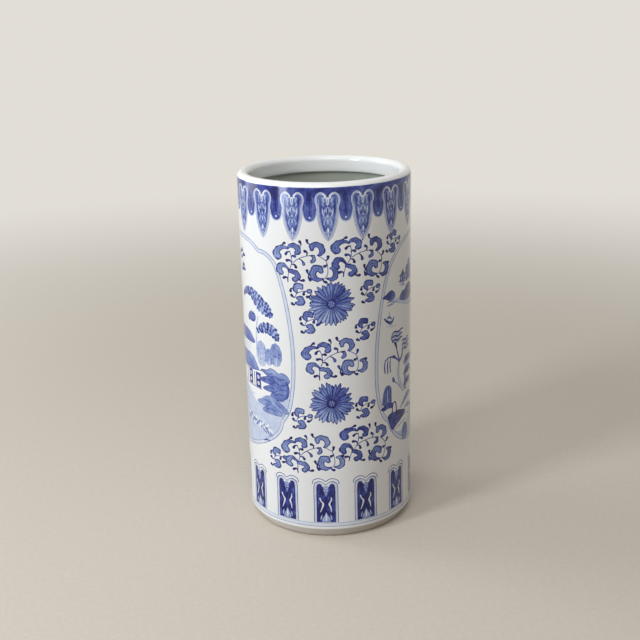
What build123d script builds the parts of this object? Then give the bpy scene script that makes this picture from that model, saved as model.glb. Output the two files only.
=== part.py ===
from build123d import *
import os

# Porcelain umbrella stand: a straight glazed cylinder with a thick rolled lip and a bevelled foot.
# The pot is put together the way a potter builds large ware: a thrown wall, a lip coil laid over its
# top edge, a floor slab let into a turned foot ring, and a luting coil pressed into the inside corner.
# Millimetres, +Z up, origin at the centre of the foot, on the surface that the stand rests on.

# Driving dimensions of the whole pot
height = 457.0
body_diameter = 216.0

# Wall, thicker towards the floor
wall_thickness_top = 9.0
wall_thickness_bottom = 11.0
thick_height = 40.0  # how far the thickening reaches up from the luting coil
flare = 0.6  # how far the wall swells out just above the foot
flare_height = 46.0  # where the swelling starts, above the foot

# Lip coil: a half round on top, with a collar that hangs inside the mouth
lip_thickness = 14.0
collar_depth = 22.0  # from the top of the lip to the collar's lower edge
collar_edge_chamfer = 2.0

# Foot ring and its bevel
foot_height = 14.0
foot_inset = 7.5  # how far the resting face stands inside the wall
foot_land = 13.0  # width of the unglazed resting face
foot_inner_chamfer = 1.5

# Floor slab, held up in the rebate of the foot ring
floor_thickness = 11.0
floor_recess = 6.0  # the hollow under the pot

# Luting coil in the corner between wall and floor
luting_leg = 9.0

# Sizes that follow from these
body_radius = body_diameter / 2
mouth_wall_radius = body_radius - wall_thickness_top
floor_radius = body_radius - wall_thickness_bottom
lip_radius = lip_thickness / 2
lip_spring = height - lip_radius  # where the straight wall ends and the lip begins
mouth_radius = body_radius - lip_thickness
collar_bottom = height - collar_depth
floor_top = floor_recess + floor_thickness
luting_top = floor_top + luting_leg
thick_top = luting_top + thick_height
foot_outer_radius = body_radius - foot_inset
foot_inner_radius = foot_outer_radius - foot_land
flare_radius = body_radius + flare
flare_top = foot_height + flare_height

# Foot ring, turned with an undercut bevel outside and a rebate for the floor slab inside
with BuildPart() as foot_ring:
    with BuildSketch(Plane.XZ):
        with BuildLine():
            Polyline(
                (flare_radius, foot_height),
                (foot_outer_radius, 0),
                (foot_inner_radius, 0),
                (foot_inner_radius, floor_recess),
                (floor_radius, floor_recess),
                (floor_radius, foot_height),
                close=True,
            )
        make_face()
    revolve(axis=Axis.Z)
    resting_face = foot_ring.faces().filter_by(Axis.Z).sort_by(Axis.Z)[0]
    inner_rim = resting_face.edges().sort_by(SortBy.RADIUS)[0]
    chamfer(inner_rim, length=foot_inner_chamfer)
foot_ring.part.label = "foot_ring"

# Floor slab, a disc that rests on the rebate and closes the bottom of the pot
with BuildPart() as floor_slab:
    with BuildSketch(Plane.XY.offset(floor_recess)):
        Circle(floor_radius)
    extrude(amount=floor_thickness)
floor_slab.part.label = "floor_slab"

# Wall, straight outside but for the swelling above the foot, thicker inside above the luting coil
with BuildPart() as wall:
    with BuildSketch(Plane.XZ):
        with BuildLine():
            Line((body_radius, lip_spring), (body_radius, flare_top))
            TangentArc(
                (body_radius, flare_top), (flare_radius, foot_height), tangent=(0, -1)
            )
            Polyline(
                (flare_radius, foot_height),
                (floor_radius, foot_height),
                (floor_radius, luting_top),
                (mouth_wall_radius, thick_top),
                (mouth_wall_radius, lip_spring),
                (body_radius, lip_spring),
            )
        make_face()
    revolve(axis=Axis.Z)
wall.part.label = "wall"

# Luting coil, smoothed to a bevel where the wall meets the floor
with BuildPart() as luting_coil:
    with BuildSketch(Plane.XZ):
        with BuildLine():
            Polyline(
                (floor_radius - luting_leg, floor_top),
                (floor_radius, floor_top),
                (floor_radius, luting_top),
                close=True,
            )
        make_face()
    revolve(axis=Axis.Z)
luting_coil.part.label = "luting_coil"

# Lip coil, half round on top, whose collar hangs down inside the wall and ends in a soft edge
with BuildPart() as lip:
    with BuildSketch(Plane.XZ):
        with BuildLine():
            ThreePointArc(
                (body_radius, lip_spring),
                (body_radius - lip_radius, height),
                (mouth_radius, lip_spring),
            )
            Polyline(
                (mouth_radius, lip_spring),
                (mouth_radius, collar_bottom),
                (mouth_wall_radius, collar_bottom),
                (mouth_wall_radius, lip_spring),
                (body_radius, lip_spring),
            )
        make_face()
    revolve(axis=Axis.Z)
    collar_edge = lip.edges().group_by(Axis.Z)[0].sort_by(SortBy.RADIUS)[0]
    chamfer(collar_edge, length=collar_edge_chamfer)
lip.part.label = "lip"

os.makedirs("parts", exist_ok=True)
for piece in (foot_ring, floor_slab, wall, luting_coil, lip):
    export_step(piece.part, f"parts/{piece.part.label}.step")
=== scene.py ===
import math
import random

import bpy
import numpy as np
from mathutils import Matrix, Vector
from mathutils.geometry import delaunay_2d_cdt


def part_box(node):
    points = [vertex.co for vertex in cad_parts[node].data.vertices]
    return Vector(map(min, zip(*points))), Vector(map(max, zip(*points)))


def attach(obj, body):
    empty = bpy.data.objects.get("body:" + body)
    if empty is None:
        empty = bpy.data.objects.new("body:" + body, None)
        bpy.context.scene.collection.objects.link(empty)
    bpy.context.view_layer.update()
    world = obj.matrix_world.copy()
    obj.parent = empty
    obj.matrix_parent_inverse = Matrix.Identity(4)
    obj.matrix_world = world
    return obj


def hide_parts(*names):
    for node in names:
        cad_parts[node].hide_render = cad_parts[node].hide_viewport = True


# Porcelain umbrella stand: white glaze with cobalt painting under it.
# The painting is laid out in millimetres on the wall rolled out flat, cut into triangles along every
# painted edge, and rolled up again. Each corner carries how much cobalt lies there.

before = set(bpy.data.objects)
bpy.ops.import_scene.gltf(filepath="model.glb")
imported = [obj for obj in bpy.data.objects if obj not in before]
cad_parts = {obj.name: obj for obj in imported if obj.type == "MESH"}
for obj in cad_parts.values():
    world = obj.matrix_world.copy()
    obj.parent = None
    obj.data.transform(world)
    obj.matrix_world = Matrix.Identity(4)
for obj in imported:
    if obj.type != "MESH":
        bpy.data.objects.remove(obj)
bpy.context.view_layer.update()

MM = 0.001


# Sizes read from the CAD parts in model.glb, in millimetres


def radii_at(node, z):
    """Least and greatest radius of a CAD node's vertices at one height."""
    near = 0.05
    places = [v.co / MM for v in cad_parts[node].data.vertices]
    found = [math.hypot(p.x, p.y) for p in places if abs(p.z - z) < near]
    return min(found), max(found)


def heights(node):
    """Lowest and highest point of a CAD node."""
    low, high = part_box(node)
    return low.z / MM, high.z / MM


wall_low, wall_high = heights("wall")
collar_low, _ = heights("lip")
slab_low, slab_high = heights("floor_slab")
coil_low, coil_high = heights("luting_coil")
mouth_wall_radius, body_radius = radii_at("wall", wall_high)
floor_radius, flare_radius = radii_at("wall", wall_low)
mouth_radius = radii_at("lip", wall_high)[0]
coil_inner_radius = radii_at("luting_coil", coil_low)[0]
foot_land_in, foot_land_out = radii_at("foot_ring", 0)
foot_bore_radius = radii_at("foot_ring", slab_low)[0]
flare_height = 46.0  # the swelling above the foot, as the solid has it
thick_height = 40.0  # the thickening inside, above the luting coil

girth = 2 * math.pi * body_radius


def outer_radius(z):
    """Radius of the wall's outside at a height: straight, with a slight swelling above the foot."""
    drop = np.clip((wall_low + flare_height - z) / flare_height, 0, 1)
    return body_radius + (flare_radius - body_radius) * drop**2


# The tools that paint. A tone tells how much cobalt lies under the glaze: 0 is bare and 1 the darkest ink.

INK = 1.0
BAND_TONE = 0.82  # the band at the mouth, which creeps up onto the lip

GRID = 9.0  # spacing of the plain points between the painted edges
TINY = 0.002  # points nearer than this are one point


def smooth(points, step, closed=False):
    """Rows of numbers on a curve through the given rows, about one per step of length."""
    rows = np.asarray(points, float)
    if closed:
        ends = np.vstack([rows[-1:], rows, rows[:2]])
    else:
        ends = np.vstack([2 * rows[0] - rows[1], rows, 2 * rows[-1] - rows[-2]])
    made = []
    for a, b, c, d in zip(ends, ends[1:], ends[2:], ends[3:]):
        count = max(1, round(math.dist(b[:2], c[:2]) / step))
        t = np.arange(count)[:, None] / count
        made.append(b + 0.5 * t * (c - a + t * (2 * a - 5 * b + 4 * c - d + t * (3 * (b - c) + d - a))))
    if not closed:
        made.append(rows[-1:])
    return np.vstack(made)


def mirrored(half, step):
    """A closed outline from its right half, which runs up to the top middle. It starts at the bottom
    middle, or else at the right end of a level lower edge."""
    right = smooth(half, step)
    if right[0, 0] > TINY:
        right = np.vstack([right[:1] * (0, 1), right])
    inner = right[::-1]
    return np.vstack([right, inner[inner[:, 0] > TINY] * (-1, 1)])


def directions(path):
    """Unit vectors along a path and to its left, one of each per point."""
    along = np.gradient(path[:, :2], axis=0)
    along /= np.maximum(np.linalg.norm(along, axis=1), TINY)[:, None]
    return along, np.column_stack([-along[:, 1], along[:, 0]])


def shrunk(outline, amount):
    """A closed outline that runs anticlockwise, moved inwards by an amount."""
    slope = np.roll(outline, -1, axis=0) - np.roll(outline, 1, axis=0)
    slope /= np.linalg.norm(slope, axis=1)[:, None]
    return outline + np.column_stack([-slope[:, 1], slope[:, 0]]) * amount


class Sheet:
    """The wall rolled out flat: s runs round the pot to the viewer's right, z is the height."""

    def __init__(self):
        self.left = -girth / 2
        self.points = []
        self.edges = []
        self.coats = []

    def lay(self, chains, patches, tone, fade=0.0, cover=1.0):
        """Lays one coat of paint: the lines that bound it, the patches that it fills, its tone at its
        middle height, the change of tone per mm up, and how much it hides. A coat that crosses the
        seam is laid once more on the other side."""
        together = np.vstack(chains)
        turns = math.floor((together[:, 0].mean() - self.left) / girth)
        shifts = [-turns * girth]
        if together[:, 0].min() + shifts[0] < self.left:
            shifts.append(shifts[0] + girth)
        if together[:, 0].max() + shifts[0] > self.left + girth:
            shifts.append(shifts[0] - girth)
        for shift in shifts:
            for chain in chains:
                self.add_chain(chain + (shift, 0))
            moved = [patch + (shift, 0) for patch in patches]
            self.coats.append((moved, tone, fade, together[:, 1].mean(), cover))

    def add_chain(self, chain):
        """Adds a row of points, joined by edges."""
        first = len(self.points)
        self.points.extend(chain)
        self.edges.extend((first + i, first + i + 1) for i in range(len(chain) - 1))

    def add_run(self, start, end, count):
        """Adds a straight run of points, joined by edges."""
        share = np.linspace(0, 1, count + 1)[:, None]
        self.add_chain(np.array(start) * (1 - share) + np.array(end) * share)

    def add_plain_points(self, bands):
        """Adds the sheet's edges, the level edges of the bands, and staggered rows of points all over."""
        columns = round(girth / GRID)
        right = self.left + girth
        row_spacing = GRID * 0.87
        for z in [low for low, tone in bands] + [wall_high]:
            self.add_run((self.left, z), (right, z), columns)
        for s in (self.left, right):
            self.add_run((s, wall_low), (s, wall_high), round((wall_high - wall_low) / GRID))
        for row, z in enumerate(np.arange(wall_low + GRID / 2, wall_high, row_spacing)):
            shift = 0.25 + 0.5 * (row % 2)
            self.points.extend((self.left + girth * (i + shift) / columns, z) for i in range(columns))

    def cut(self, bands):
        """Triangles that follow every painted edge: corner places, triangles and the tone at each corner.
        The bands are (lowest height, tone) of the ground that the paint lies on, from the bottom up."""
        self.add_plain_points(bands)
        made = delaunay_2d_cdt([Vector(p) for p in self.points], self.edges, [], 0, TINY, False)
        corners = np.array([tuple(v) for v in made[0]])
        triangles = np.array(made[2])
        s, z = corners[triangles].mean(axis=1).T
        triangles = triangles[(np.abs(s) < girth / 2) & (z > wall_low) & (z < wall_high)]
        middles = corners[triangles].mean(axis=1)
        lows, ground = np.array(bands).T
        tones = np.repeat(ground[np.searchsorted(lows, middles[:, 1]) - 1][:, None], 3, axis=1)
        finder = Finder(middles)
        for patches, tone, fade, middle, cover in self.coats:
            found = np.unique(np.concatenate([finder.inside(patch) for patch in patches]))
            paint = np.clip(tone + fade * (corners[triangles[found], 1] - middle), 0, INK)
            tones[found] += (paint - tones[found]) * cover
        return corners, triangles, tones


class Finder:
    """Finds which of many points lie in an outline, by sorting them into square cells first."""

    cell = 4.0

    def __init__(self, points):
        self.low = points.min(axis=0)
        cells = ((points - self.low) / self.cell).astype(int)
        self.across = cells[:, 0].max() + 1
        keys = cells[:, 1] * self.across + cells[:, 0]
        self.order = np.argsort(keys, kind="stable")
        self.keys = keys[self.order]
        self.points = points

    def inside(self, outline):
        """Numbers of the points inside a closed outline, which a level line from them crosses an odd
        number of times."""
        first = np.maximum(((outline.min(axis=0) - self.low) / self.cell).astype(int), 0)
        last = np.maximum(((outline.max(axis=0) - self.low) / self.cell).astype(int), 0)
        rows = np.arange(first[1], last[1] + 1) * self.across
        starts = np.searchsorted(self.keys, rows + min(first[0], self.across - 1), "left")
        ends = np.searchsorted(self.keys, rows + min(last[0], self.across - 1), "right")
        near = np.concatenate([self.order[a:b] for a, b in zip(starts, ends)])
        x, z = self.points[near].T
        odd = np.zeros(len(near), bool)
        for (ax, az), (bx, bz) in zip(outline, np.roll(outline, -1, axis=0)):
            if az != bz:
                odd ^= ((az > z) != (bz > z)) & (x < ax + (z - az) * (bx - ax) / (bz - az))
        return near[odd]


class Pen:
    """Draws one motif on the sheet in its own millimetres, placed by a shift and a turn in degrees."""

    def __init__(self, sheet, s, z, turn=0.0):
        self.sheet = sheet
        self.origin = np.array((s, z), float)
        cosine, sine = math.cos(math.radians(turn)), math.sin(math.radians(turn))
        self.frame = np.array(((cosine, sine), (-sine, cosine)))

    def place(self, points):
        """Where points of the motif lie on the sheet."""
        return np.asarray(points, float)[:, :2] @ self.frame + self.origin

    def area(self, outline, tone, fade=0.0, cover=1.0):
        """A filled shape inside a closed outline."""
        placed = self.place(outline)
        self.sheet.lay([np.vstack([placed, placed[:1]])], [placed], tone, fade, cover)

    def stroke(self, rows, tone, inset=0.0, cover=1.0, step=1.6, lobes=0.0):
        """A brush stroke along rows of (across, up, width), round at both ends.
        The inset draws it narrower all round, and lobes make its outer edge scalloped."""
        least_half, least_round, broad, lobe_rate, lobe_low = 0.05, 0.3, 1.5, 0.55, 0.4
        path = smooth(rows, step)
        path = path[path[:, 2] / 2 - inset > least_half]
        if len(path) < 2:
            return
        spine = path[:, :2]
        half = path[:, 2] / 2 - inset
        along, side = directions(path)
        bend = (along[:-1, 0] * along[1:, 1] - along[:-1, 1] * along[1:, 0]).sum()
        run = np.concatenate([[0], np.cumsum(np.linalg.norm(np.diff(spine, axis=0), axis=1))])
        swell = 1 + lobes * (np.abs(np.sin(run * lobe_rate)) - lobe_low)
        left = self.place(spine + side * (half * (swell if bend < 0 else 1))[:, None])
        right = self.place(spine - side * (half * (swell if bend > 0 else 1))[:, None])
        chains = [left, right]
        patches = list(np.stack([left[:-1], right[:-1], right[1:], left[1:]], axis=1))
        for end, way, corners in ((0, -1, (left[0], right[0])), (-1, 1, (right[-1], left[-1]))):
            cap = np.array(corners)
            if half[end] > least_round:
                angles = np.linspace(-math.pi / 2, math.pi / 2, 5 if half[end] < broad else 7)[1:-1]
                bow = np.cos(angles)[:, None] * along[end] + np.sin(angles)[:, None] * side[end]
                bow = self.place(spine[end] + bow * way * half[end])
                cap = np.vstack([corners[:1], bow, corners[1:]])
                patches.append(cap)
            chains.append(cap)
        self.sheet.lay(chains, patches, tone, cover=cover)

    def marks(self, marks, step=1.6, side=1):
        """Strokes of (tone, rows), or their mirror images where the side is -1."""
        for tone, rows in marks:
            self.stroke([(side * x, z, width) for x, z, width in rows], tone, step=step)

    def line(self, points, width, tone, step=1.5):
        """A stroke of one width."""
        self.stroke([(x, z, width) for x, z in points], tone, step=step)

    def ring(self, outline, width, tone, step):
        """A line all round a closed outline."""
        self.line(np.vstack([outline, outline[:1]]), width, tone, step)

    def between(self, upper, lower, tone):
        """A wash between two lines that run side by side, point for point."""
        over, under = self.place(upper), self.place(lower)
        patches = list(np.stack([under[:-1], under[1:], over[1:], over[:-1]], axis=1))
        self.sheet.lay([over, under], patches, tone)

    def oval(self, x, z, across, up, tone, cover=1.0):
        """A filled oval with half sizes across and up."""
        angles = np.linspace(0, 2 * math.pi, max(8, round(6 + across + up)), endpoint=False)
        outline = np.column_stack([np.cos(angles) * across, np.sin(angles) * up]) + (x, z)
        self.area(outline, tone, cover=cover)

    def hook(self, points):
        """A dark curl that starts as a thin stalk and ends in a blob."""
        stalk, blob = 1.3, 3.8
        widths = np.linspace(0, 1, len(points)) ** 1.5 * (blob - stalk) + stalk
        self.stroke([(x, z, width) for (x, z), width in zip(points, widths)], INK, step=1.5)

    def leaf(self, rows, wash):
        """A curling leaf: a dark scalloped rim, a wash inside it, a lighter streak along its middle and,
        in a long leaf, a vein."""
        rim_tone, edge, lobes, vein_width = 0.92, 1.2, 0.3, 0.8
        self.stroke(rows, rim_tone, lobes=lobes)
        self.stroke(rows, wash, inset=edge, step=2.0, lobes=lobes)
        self.stroke(rows, wash - 0.14, inset=2 * edge, step=3.0, cover=0.85)
        if len(rows) > 4:
            vein = [(x, z) for x, z, width in rows[1:-1]]
            self.line(vein, vein_width, min(INK, wash + 0.24), step=2.8)


# Motifs of the floral panel: points of (across, up), and rows of (across, up, width) for leaves

SPRIG_STEMS = (
    ((-13, -2.5), (-9, 1.4), (-3, 5), (3, 7.5), (9, 8.8), (13, 9.3)),
    ((16, 9.5), (21, 7), (26.3, 3.5), (28.2, -1), (29.3, -7), (29, -14), (26, -18.5)),
    ((-18, 11), (-16, 7), (-15, 3), (-14.4, -2), (-15.6, -7), (-18, -13)),
    ((-18, -13), (-18.6, -19), (-18.5, -27)),
)
SPRIG_LEAVES = (
    ((-20, 13.8, 2.2), (-26, 14.8, 4.6), (-31.5, 12.6, 6.8), (-35.4, 8, 9), (-35.2, 3.8, 10.4),
     (-32.4, 3, 9)),
    ((-20.4, 14.2, 2.2), (-17.4, 17.6, 5), (-12.2, 18.4, 6.6), (-8, 15.6, 7.8), (-7.4, 11.8, 7.4),
     (-9.4, 10, 5.4)),
    ((9.2, 16.8, 5.8), (9.6, 20.4, 7), (14.5, 22.4, 6.4), (20, 19.6, 7.4), (21.4, 15, 7.2), (19.6, 11.4, 5),
     (16.6, 9.3, 1.8)),
    ((-17.6, -12.4, 2), (-21.6, -8.6, 3.8), (-26.6, -7, 6), (-30.6, -10, 8), (-31, -14.4, 8.2),
     (-27.8, -16.8, 6.4)),
    ((-17.4, -13.4, 4.4), (-13.4, -13.2, 5.8), (-8.6, -14.6, 6.4), (-6, -18, 6.8), (-7.8, -21.4, 7),
     (-10.6, -22.4, 6.4)),
    ((21.4, -9.4, 6.2), (19.4, -6.8, 8.4), (14.6, -6.8, 9), (12, -11.6, 8.2), (12.8, -16.6, 8.2),
     (17.4, -19.6, 6), (24.4, -18.6, 2)),
    ((32.4, -5.2, 3.2), (35.6, -5.6, 5.6), (38.4, -9.6, 6.6), (38.2, -15, 6.8), (35, -18.4, 5.6),
     (29, -18, 2.4)),
    ((8, 8.6, 1.6), (11.6, 7.6, 4), (12.4, 4, 4.8), (10, 1.4, 4.4)),
    ((-6, 3.4, 0.9), (-2.4, 1.8, 1.6), (-0.2, -0.8, 3.2), (0.3, -2.8, 3.8)),
)
SPRIG_HOOKS = (
    ((-28.5, 16.5), (-27, 18.5), (-25, 19.8)),
    ((-4, 19.5), (-4.2, 22), (-5.6, 24)),
    ((5.8, 22.2), (4, 23.5), (3, 26.4)),
    ((-17.5, 10.6), (-20.5, 9.8), (-22.6, 7)),
    ((-15.5, 3.8), (-14, 6), (-11, 5.6)),
    ((-14.5, -3), (-16.8, 0), (-21, -0.6)),
    ((-14.5, -4.7), (-11, -4.4), (-9, -7.4)),
    ((3.6, 8.3), (3.9, 11.8), (1, 13.2)),
    ((26.2, 3.8), (28.3, 5.4), (28.8, 8.6)),
    ((28, 0), (27.6, -2), (25.2, -3.2)),
    ((9.5, -16), (6, -13), (4.8, -10)),
    ((7.5, -14), (6.8, -17.5), (9, -21)),
    ((24.4, -18), (24.8, -21), (27.8, -22.4)),
    ((-6, -21), (-2.5, -23), (1, -22.4)),
    ((-18.6, -27), (-19.2, -22.4), (-21.6, -21.4), (-24.4, -22.6)),
    ((36.6, -4.2), (38.4, -3), (39.8, -4)),
)
SMALL_STEMS = (((-5, -4), (-3.5, 0), (0, 2.5), (5, 4), (10, 4.3)),)
SMALL_LEAVES = (
    ((-2.8, 2.6, 3.4), (-4.6, 7, 7), (-1.8, 10.4, 7.8), (2.8, 9.8, 7), (3.4, 8.2, 4.8)),
    ((-1.4, -4.6, 5), (2.2, -5.2, 7.2), (3.8, -8.6, 7.8), (0.4, -10.8, 7), (-4.4, -10.6, 2.8)),
    ((12.2, 4.4, 5.8), (13.6, 4.6, 5.8)),
)
SMALL_HOOKS = (
    ((-7, 7), (-10, 6.5), (-10.5, 3.5)),
    ((-5, -4), (-7.5, -3.5), (-9.5, -1.5)),
    ((-4.8, -11), (-6.5, -13.5), (-9, -12)),
    ((8.5, 4.3), (6.6, 3), (5.9, 0.6)),
    ((15.4, 1.4), (13, -1.8), (10.2, -2.6)),
)

# A kind of sprig ends with the palest and the deepest wash of its leaves, a place with a turn in degrees
SPRIG = (SPRIG_STEMS, SPRIG_LEAVES, SPRIG_HOOKS, (0.46, 0.64))
SMALL_SPRIG = (SMALL_STEMS, SMALL_LEAVES, SMALL_HOOKS, (0.48, 0.62))
SPRIG_PLACES = ((-26.5, 363.5, -4), (44.5, 367, -13), (8, 243, 0), (-24, 117, 2), (49.5, 126.5, -18))
SMALL_SPRIG_PLACES = ((-33.3, 323.5, 0), (-22, 289, 0), (53, 323.5, 0), (45.5, 277, 0), (-36.5, 163.5, 0),
                      (44.5, 176, 0), (91, 378.5, -12), (-73, 103.5, -5))
FLOWER_PLACES = ((5.5, 312), (3.5, 185))


def sprigs(sheet, middle, kind, places, draws):
    """Sprays of curling leaves on thin stems, with dark hooks. Those on the right are painted deeper."""
    stems, leaves, hooks, washes = kind
    right_part, deeper, stem_width, stem_tone = 20, 0.15, 0.95, 0.78
    for x, z, turn in places:
        pen = Pen(sheet, middle + x, z, turn)
        for stem in stems:
            pen.line(stem, stem_width, stem_tone, step=2.0)
        for rows in leaves:
            pen.leaf(rows, draws.uniform(*washes) + (deeper if x > right_part else 0.0))
        for points in hooks:
            pen.hook(points)


def chrysanthemum(pen, draws):
    """A round flower head: long bent petals over a shorter, darker ring of them, and a dark dotted eye."""
    count, reach, root, root_width, shaded_side = 28, 27.5, 3.0, 1.3, math.radians(55)
    rim, rim_tone, streak = 0.75, 0.94, 1.1
    eye, eye_tone, dot, dot_tone, dots, dot_ring = 4.4, 0.84, 0.9, 0.36, 6, 2.8
    petal = ((0.5, 0.3, 0.78), (0.78, 0.6, 1), (0.92, 0.9, 0.8), (1, 1.2, 0.3))  # shares along, aside, wide
    for offset, share, darker in ((0.5, 0.9, 0.16), (0.0, 0.98, 0.0)):
        for i in range(count):
            angle = 2 * math.pi * (i + offset + draws.uniform(-0.2, 0.2)) / count
            out = np.array((math.cos(angle), math.sin(angle)))
            aside = np.array((-out[1], out[0])) * draws.uniform(-1.8, 1.8)
            long = reach * share * draws.uniform(0.9, 1.07)
            broad = draws.uniform(4.4, 5.6)
            tone = 0.58 + darker + 0.13 * math.cos(angle - shaded_side) + draws.uniform(-0.08, 0.08)
            spine = [(root, 0, root_width)]
            spine += [(long * along, bend, broad * wide) for along, bend, wide in petal]
            rows = [(*(out * along + aside * bend), width) for along, bend, width in spine]
            pen.stroke(rows, rim_tone, step=3.4)
            pen.stroke(rows, tone, inset=rim, step=3.4)
            pen.line([point[:2] for point in rows[1:4]], streak, tone - 0.12, step=9.0)
    pen.oval(0, 0, eye, eye, eye_tone)
    for i in range(dots):
        turn = 2 * math.pi * i / dots + math.radians(15)
        pen.oval(dot_ring * math.cos(turn), dot_ring * math.sin(turn), dot, dot, dot_tone)
    pen.oval(0, 0, dot, dot, dot_tone)


def floral_panel(sheet, middle, draws):
    """One whole floral panel: the small sprigs, two flower heads and five sprigs."""
    sprigs(sheet, middle, SMALL_SPRIG, SMALL_SPRIG_PLACES, draws)
    for x, z in FLOWER_PLACES:
        chrysanthemum(Pen(sheet, middle + x, z), draws)
    sprigs(sheet, middle, SPRIG, SPRIG_PLACES, draws)


# Borders at the mouth and at the foot: marks are a tone and rows of (across, up, width)

LAPPET_HALF = ((0, 0), (4, 4.4), (8, 12), (11, 21.5), (12.7, 31), (13.4, 40.5), (15.2, 48), (13.8, 55),
               (8.4, 58.8), (3.4, 57), (1.0, 52.4), (0, 50.5))
LAPPET_BORDERS = ((0, 0.6), (0.55, 0.06), (1.35, 0.66), (1.95, 0.1))  # how far in, and the tone
LAPPET_SIDE_MARKS = (
    (0.78, ((8.8, 50, 2.4), (8.4, 43, 2.8), (8.2, 34, 2.6), (6.6, 24, 2.2), (3.4, 13, 1.2))),
    (0.4, ((10.4, 49, 0.7), (9.9, 40, 0.7), (9.2, 31, 0.7), (6.8, 19, 0.6))),
    (0.05, ((7.6, 56, 0.8), (4.4, 56, 1.5), (2.5, 54, 2.4), (3.4, 51.6, 1.6))),
    (0.34, ((5.6, 51.4, 2.2), (4.6, 47.6, 2.6), (5.4, 45.4, 1.4))),
    (0.3, ((4.2, 42.2, 0.9), (6.4, 44.2, 1.3))),
    (0.12, ((2.2, 42.8, 1.1), (2.9, 44.4, 1.2))),
    (0.9, ((0.6, 40.6, 1.2), (3.4, 44.6, 0.8))),
    (0.14, ((6.2, 39, 0.7), (6, 35, 1.2), (4.6, 31, 1.0), (3, 28.8, 0.7))),
    (0.16, ((3.4, 37.4, 1.0), (4.2, 35.4, 1.1))),
    (0.88, ((2.4, 33, 1.5), (3.4, 30, 1.3))),
    (0.3, ((2.2, 27, 0.8), (4.6, 23, 1.3), (4.4, 19.4, 0.8))),
    (0.9, ((0.3, 18.4, 0.9), (3.6, 14, 0.9), (5, 14.8, 0.6))),
    (0.3, ((1.4, 11.6, 0.6), (3.6, 10.4, 1.0))),
)
LAPPET_MIDDLE_MARKS = (
    (0.14, ((0, 50.6, 4.2), (0, 46, 3.2), (0, 42.6, 0.8))),
    (0.42, ((0, 49, 1.6), (0, 45.6, 1.1))),
    (0.36, ((0, 38.4, 6), (0, 36.8, 5))),
    (0.86, ((0, 39.6, 1.0), (0, 36, 1.8), (0, 33.6, 1.0))),
    (0.14, ((0, 31, 1.3), (0, 29.6, 1.4))),
    (0.2, ((0, 26.4, 0.8), (0, 24, 1.5), (0, 21.6, 0.8))),
    (0.08, ((0, 16.4, 0.8), (0, 13.4, 2.6), (0, 10.6, 0.8))),
    (0.2, ((0, 9, 0.8), (0, 7, 1.6), (0, 5.4, 0.6))),
)
PENDANT_SHELL = ((0, -1.3), (5, 0.3), (8, 5.4), (8.9, 12), (9, 19), (0, 20))
PENDANT_TAB = ((0, 0), (4.2, 1.5), (6.9, 6.4), (7.7, 12), (8.8, 18), (9.6, 26), (9.8, 36), (0, 37))
PANEL_HUMPS = ((-17, 54), (-15.6, 58.8), (-9, 61.7), (-3.4, 60), (0, 57.6), (3.4, 60), (9, 61.7),
               (15.6, 58.8), (17, 54))
PANEL_SHELL = ((15.7, 0.4), (15.6, 25), (15.4, 51), (13.4, 56), (8, 58.2), (3.2, 56.2), (0, 53.6))
PANEL_BORDERS = ((1, 1, 0.76), (0.94, 0.983, 0.13), (0.86, 0.965, 0.26), (0.82, 0.955, 0.05))  # size, tone
PANEL_FIELD = ((12.3, 0.6), (12.2, 25), (12, 48.6), (10.2, 53.6), (6.4, 54.8), (3, 52.4), (0, 49.6))
PANEL_SIDE_MARKS = (
    (0.03, ((7, 54.2, 0.8), (4.9, 55, 1.4), (3.4, 52, 3.2))),
    (0.84, ((10, 4, 1.4), (9.6, 25, 2), (9.4, 46, 1.2))),
    (0.3, ((7, 4.4, 0.8), (6.4, 7.6, 2), (5.4, 11, 0.7))),
    (0.78, ((1.6, 30, 1), (3.4, 35, 1.4), (1.4, 39.6, 0.9))),
)
PANEL_LACE = ((0, 36), (1.5, 39), (1.9, 41.6), (3.4, 44.4), (3, 47), (3.6, 50), (2, 51.6), (0, 50.6))
PANEL_LACE_HOLES = ((0, 48), (-2, 49.6), (1.9, 49.2), (0.2, 40.8), (-1.7, 44.8), (1.5, 45.2))
PANEL_CURLS = (
    (0.08, ((6.6, 35.6, 0.9), (6.8, 32, 1.7), (5, 28.4, 1.6), (4.2, 26, 2.4), (5.8, 21.6, 1.9),
            (6.6, 15.6, 0.9))),
    (0.08, ((-7.6, 34, 2.0), (-6.4, 30.4, 1.4), (-3.8, 27, 2.4), (-4.6, 22, 1.9), (-7.2, 15.2, 0.9))),
)
PANEL_FLAME = ((0, 1.4), (5.4, 1.6), (4.6, 6.5), (2, 10.4), (0, 15))


def lappet(pen):
    """A pointed lappet with two curled lobes on top, from its tip upwards: a double pale border round a
    field of lighter scrolls."""
    field_inset, field_tone = 2.6, 0.6
    body = mirrored(LAPPET_HALF, 2.2)
    for amount, tone in LAPPET_BORDERS:
        pen.area(shrunk(body, amount), tone)
    pen.area(shrunk(body, field_inset), field_tone, fade=0.003)
    for side in (-1, 1):
        pen.marks(LAPPET_SIDE_MARKS, 2.0, side)
    pen.marks(LAPPET_MIDDLE_MARKS, 2.0)


def pendant(pen):
    """A dark round-ended tab that hangs from the band between two lappets, from its lower end upwards."""
    pen.area(mirrored(PENDANT_SHELL, 2.5), 0.2)
    pen.area(mirrored(PENDANT_TAB, 2.5), 0.8, fade=0.005)
    pen.stroke(((4.4, 27, 1.6), (4.6, 17, 2.6), (3, 7, 1.4)), 0.66)
    pen.stroke(((-5, 27, 1.4), (-4.8, 16, 2.2), (-3.4, 8, 1.2)), 0.72)
    pen.oval(-0.4, 27.5, 3, 6.2, INK)
    pen.stroke(((-0.4, 22, 2.6), (0, 14, 2), (0.2, 9, 1)), 0.94)
    pen.oval(0, 4.4, 1.1, 1.1, 0.06)


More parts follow.
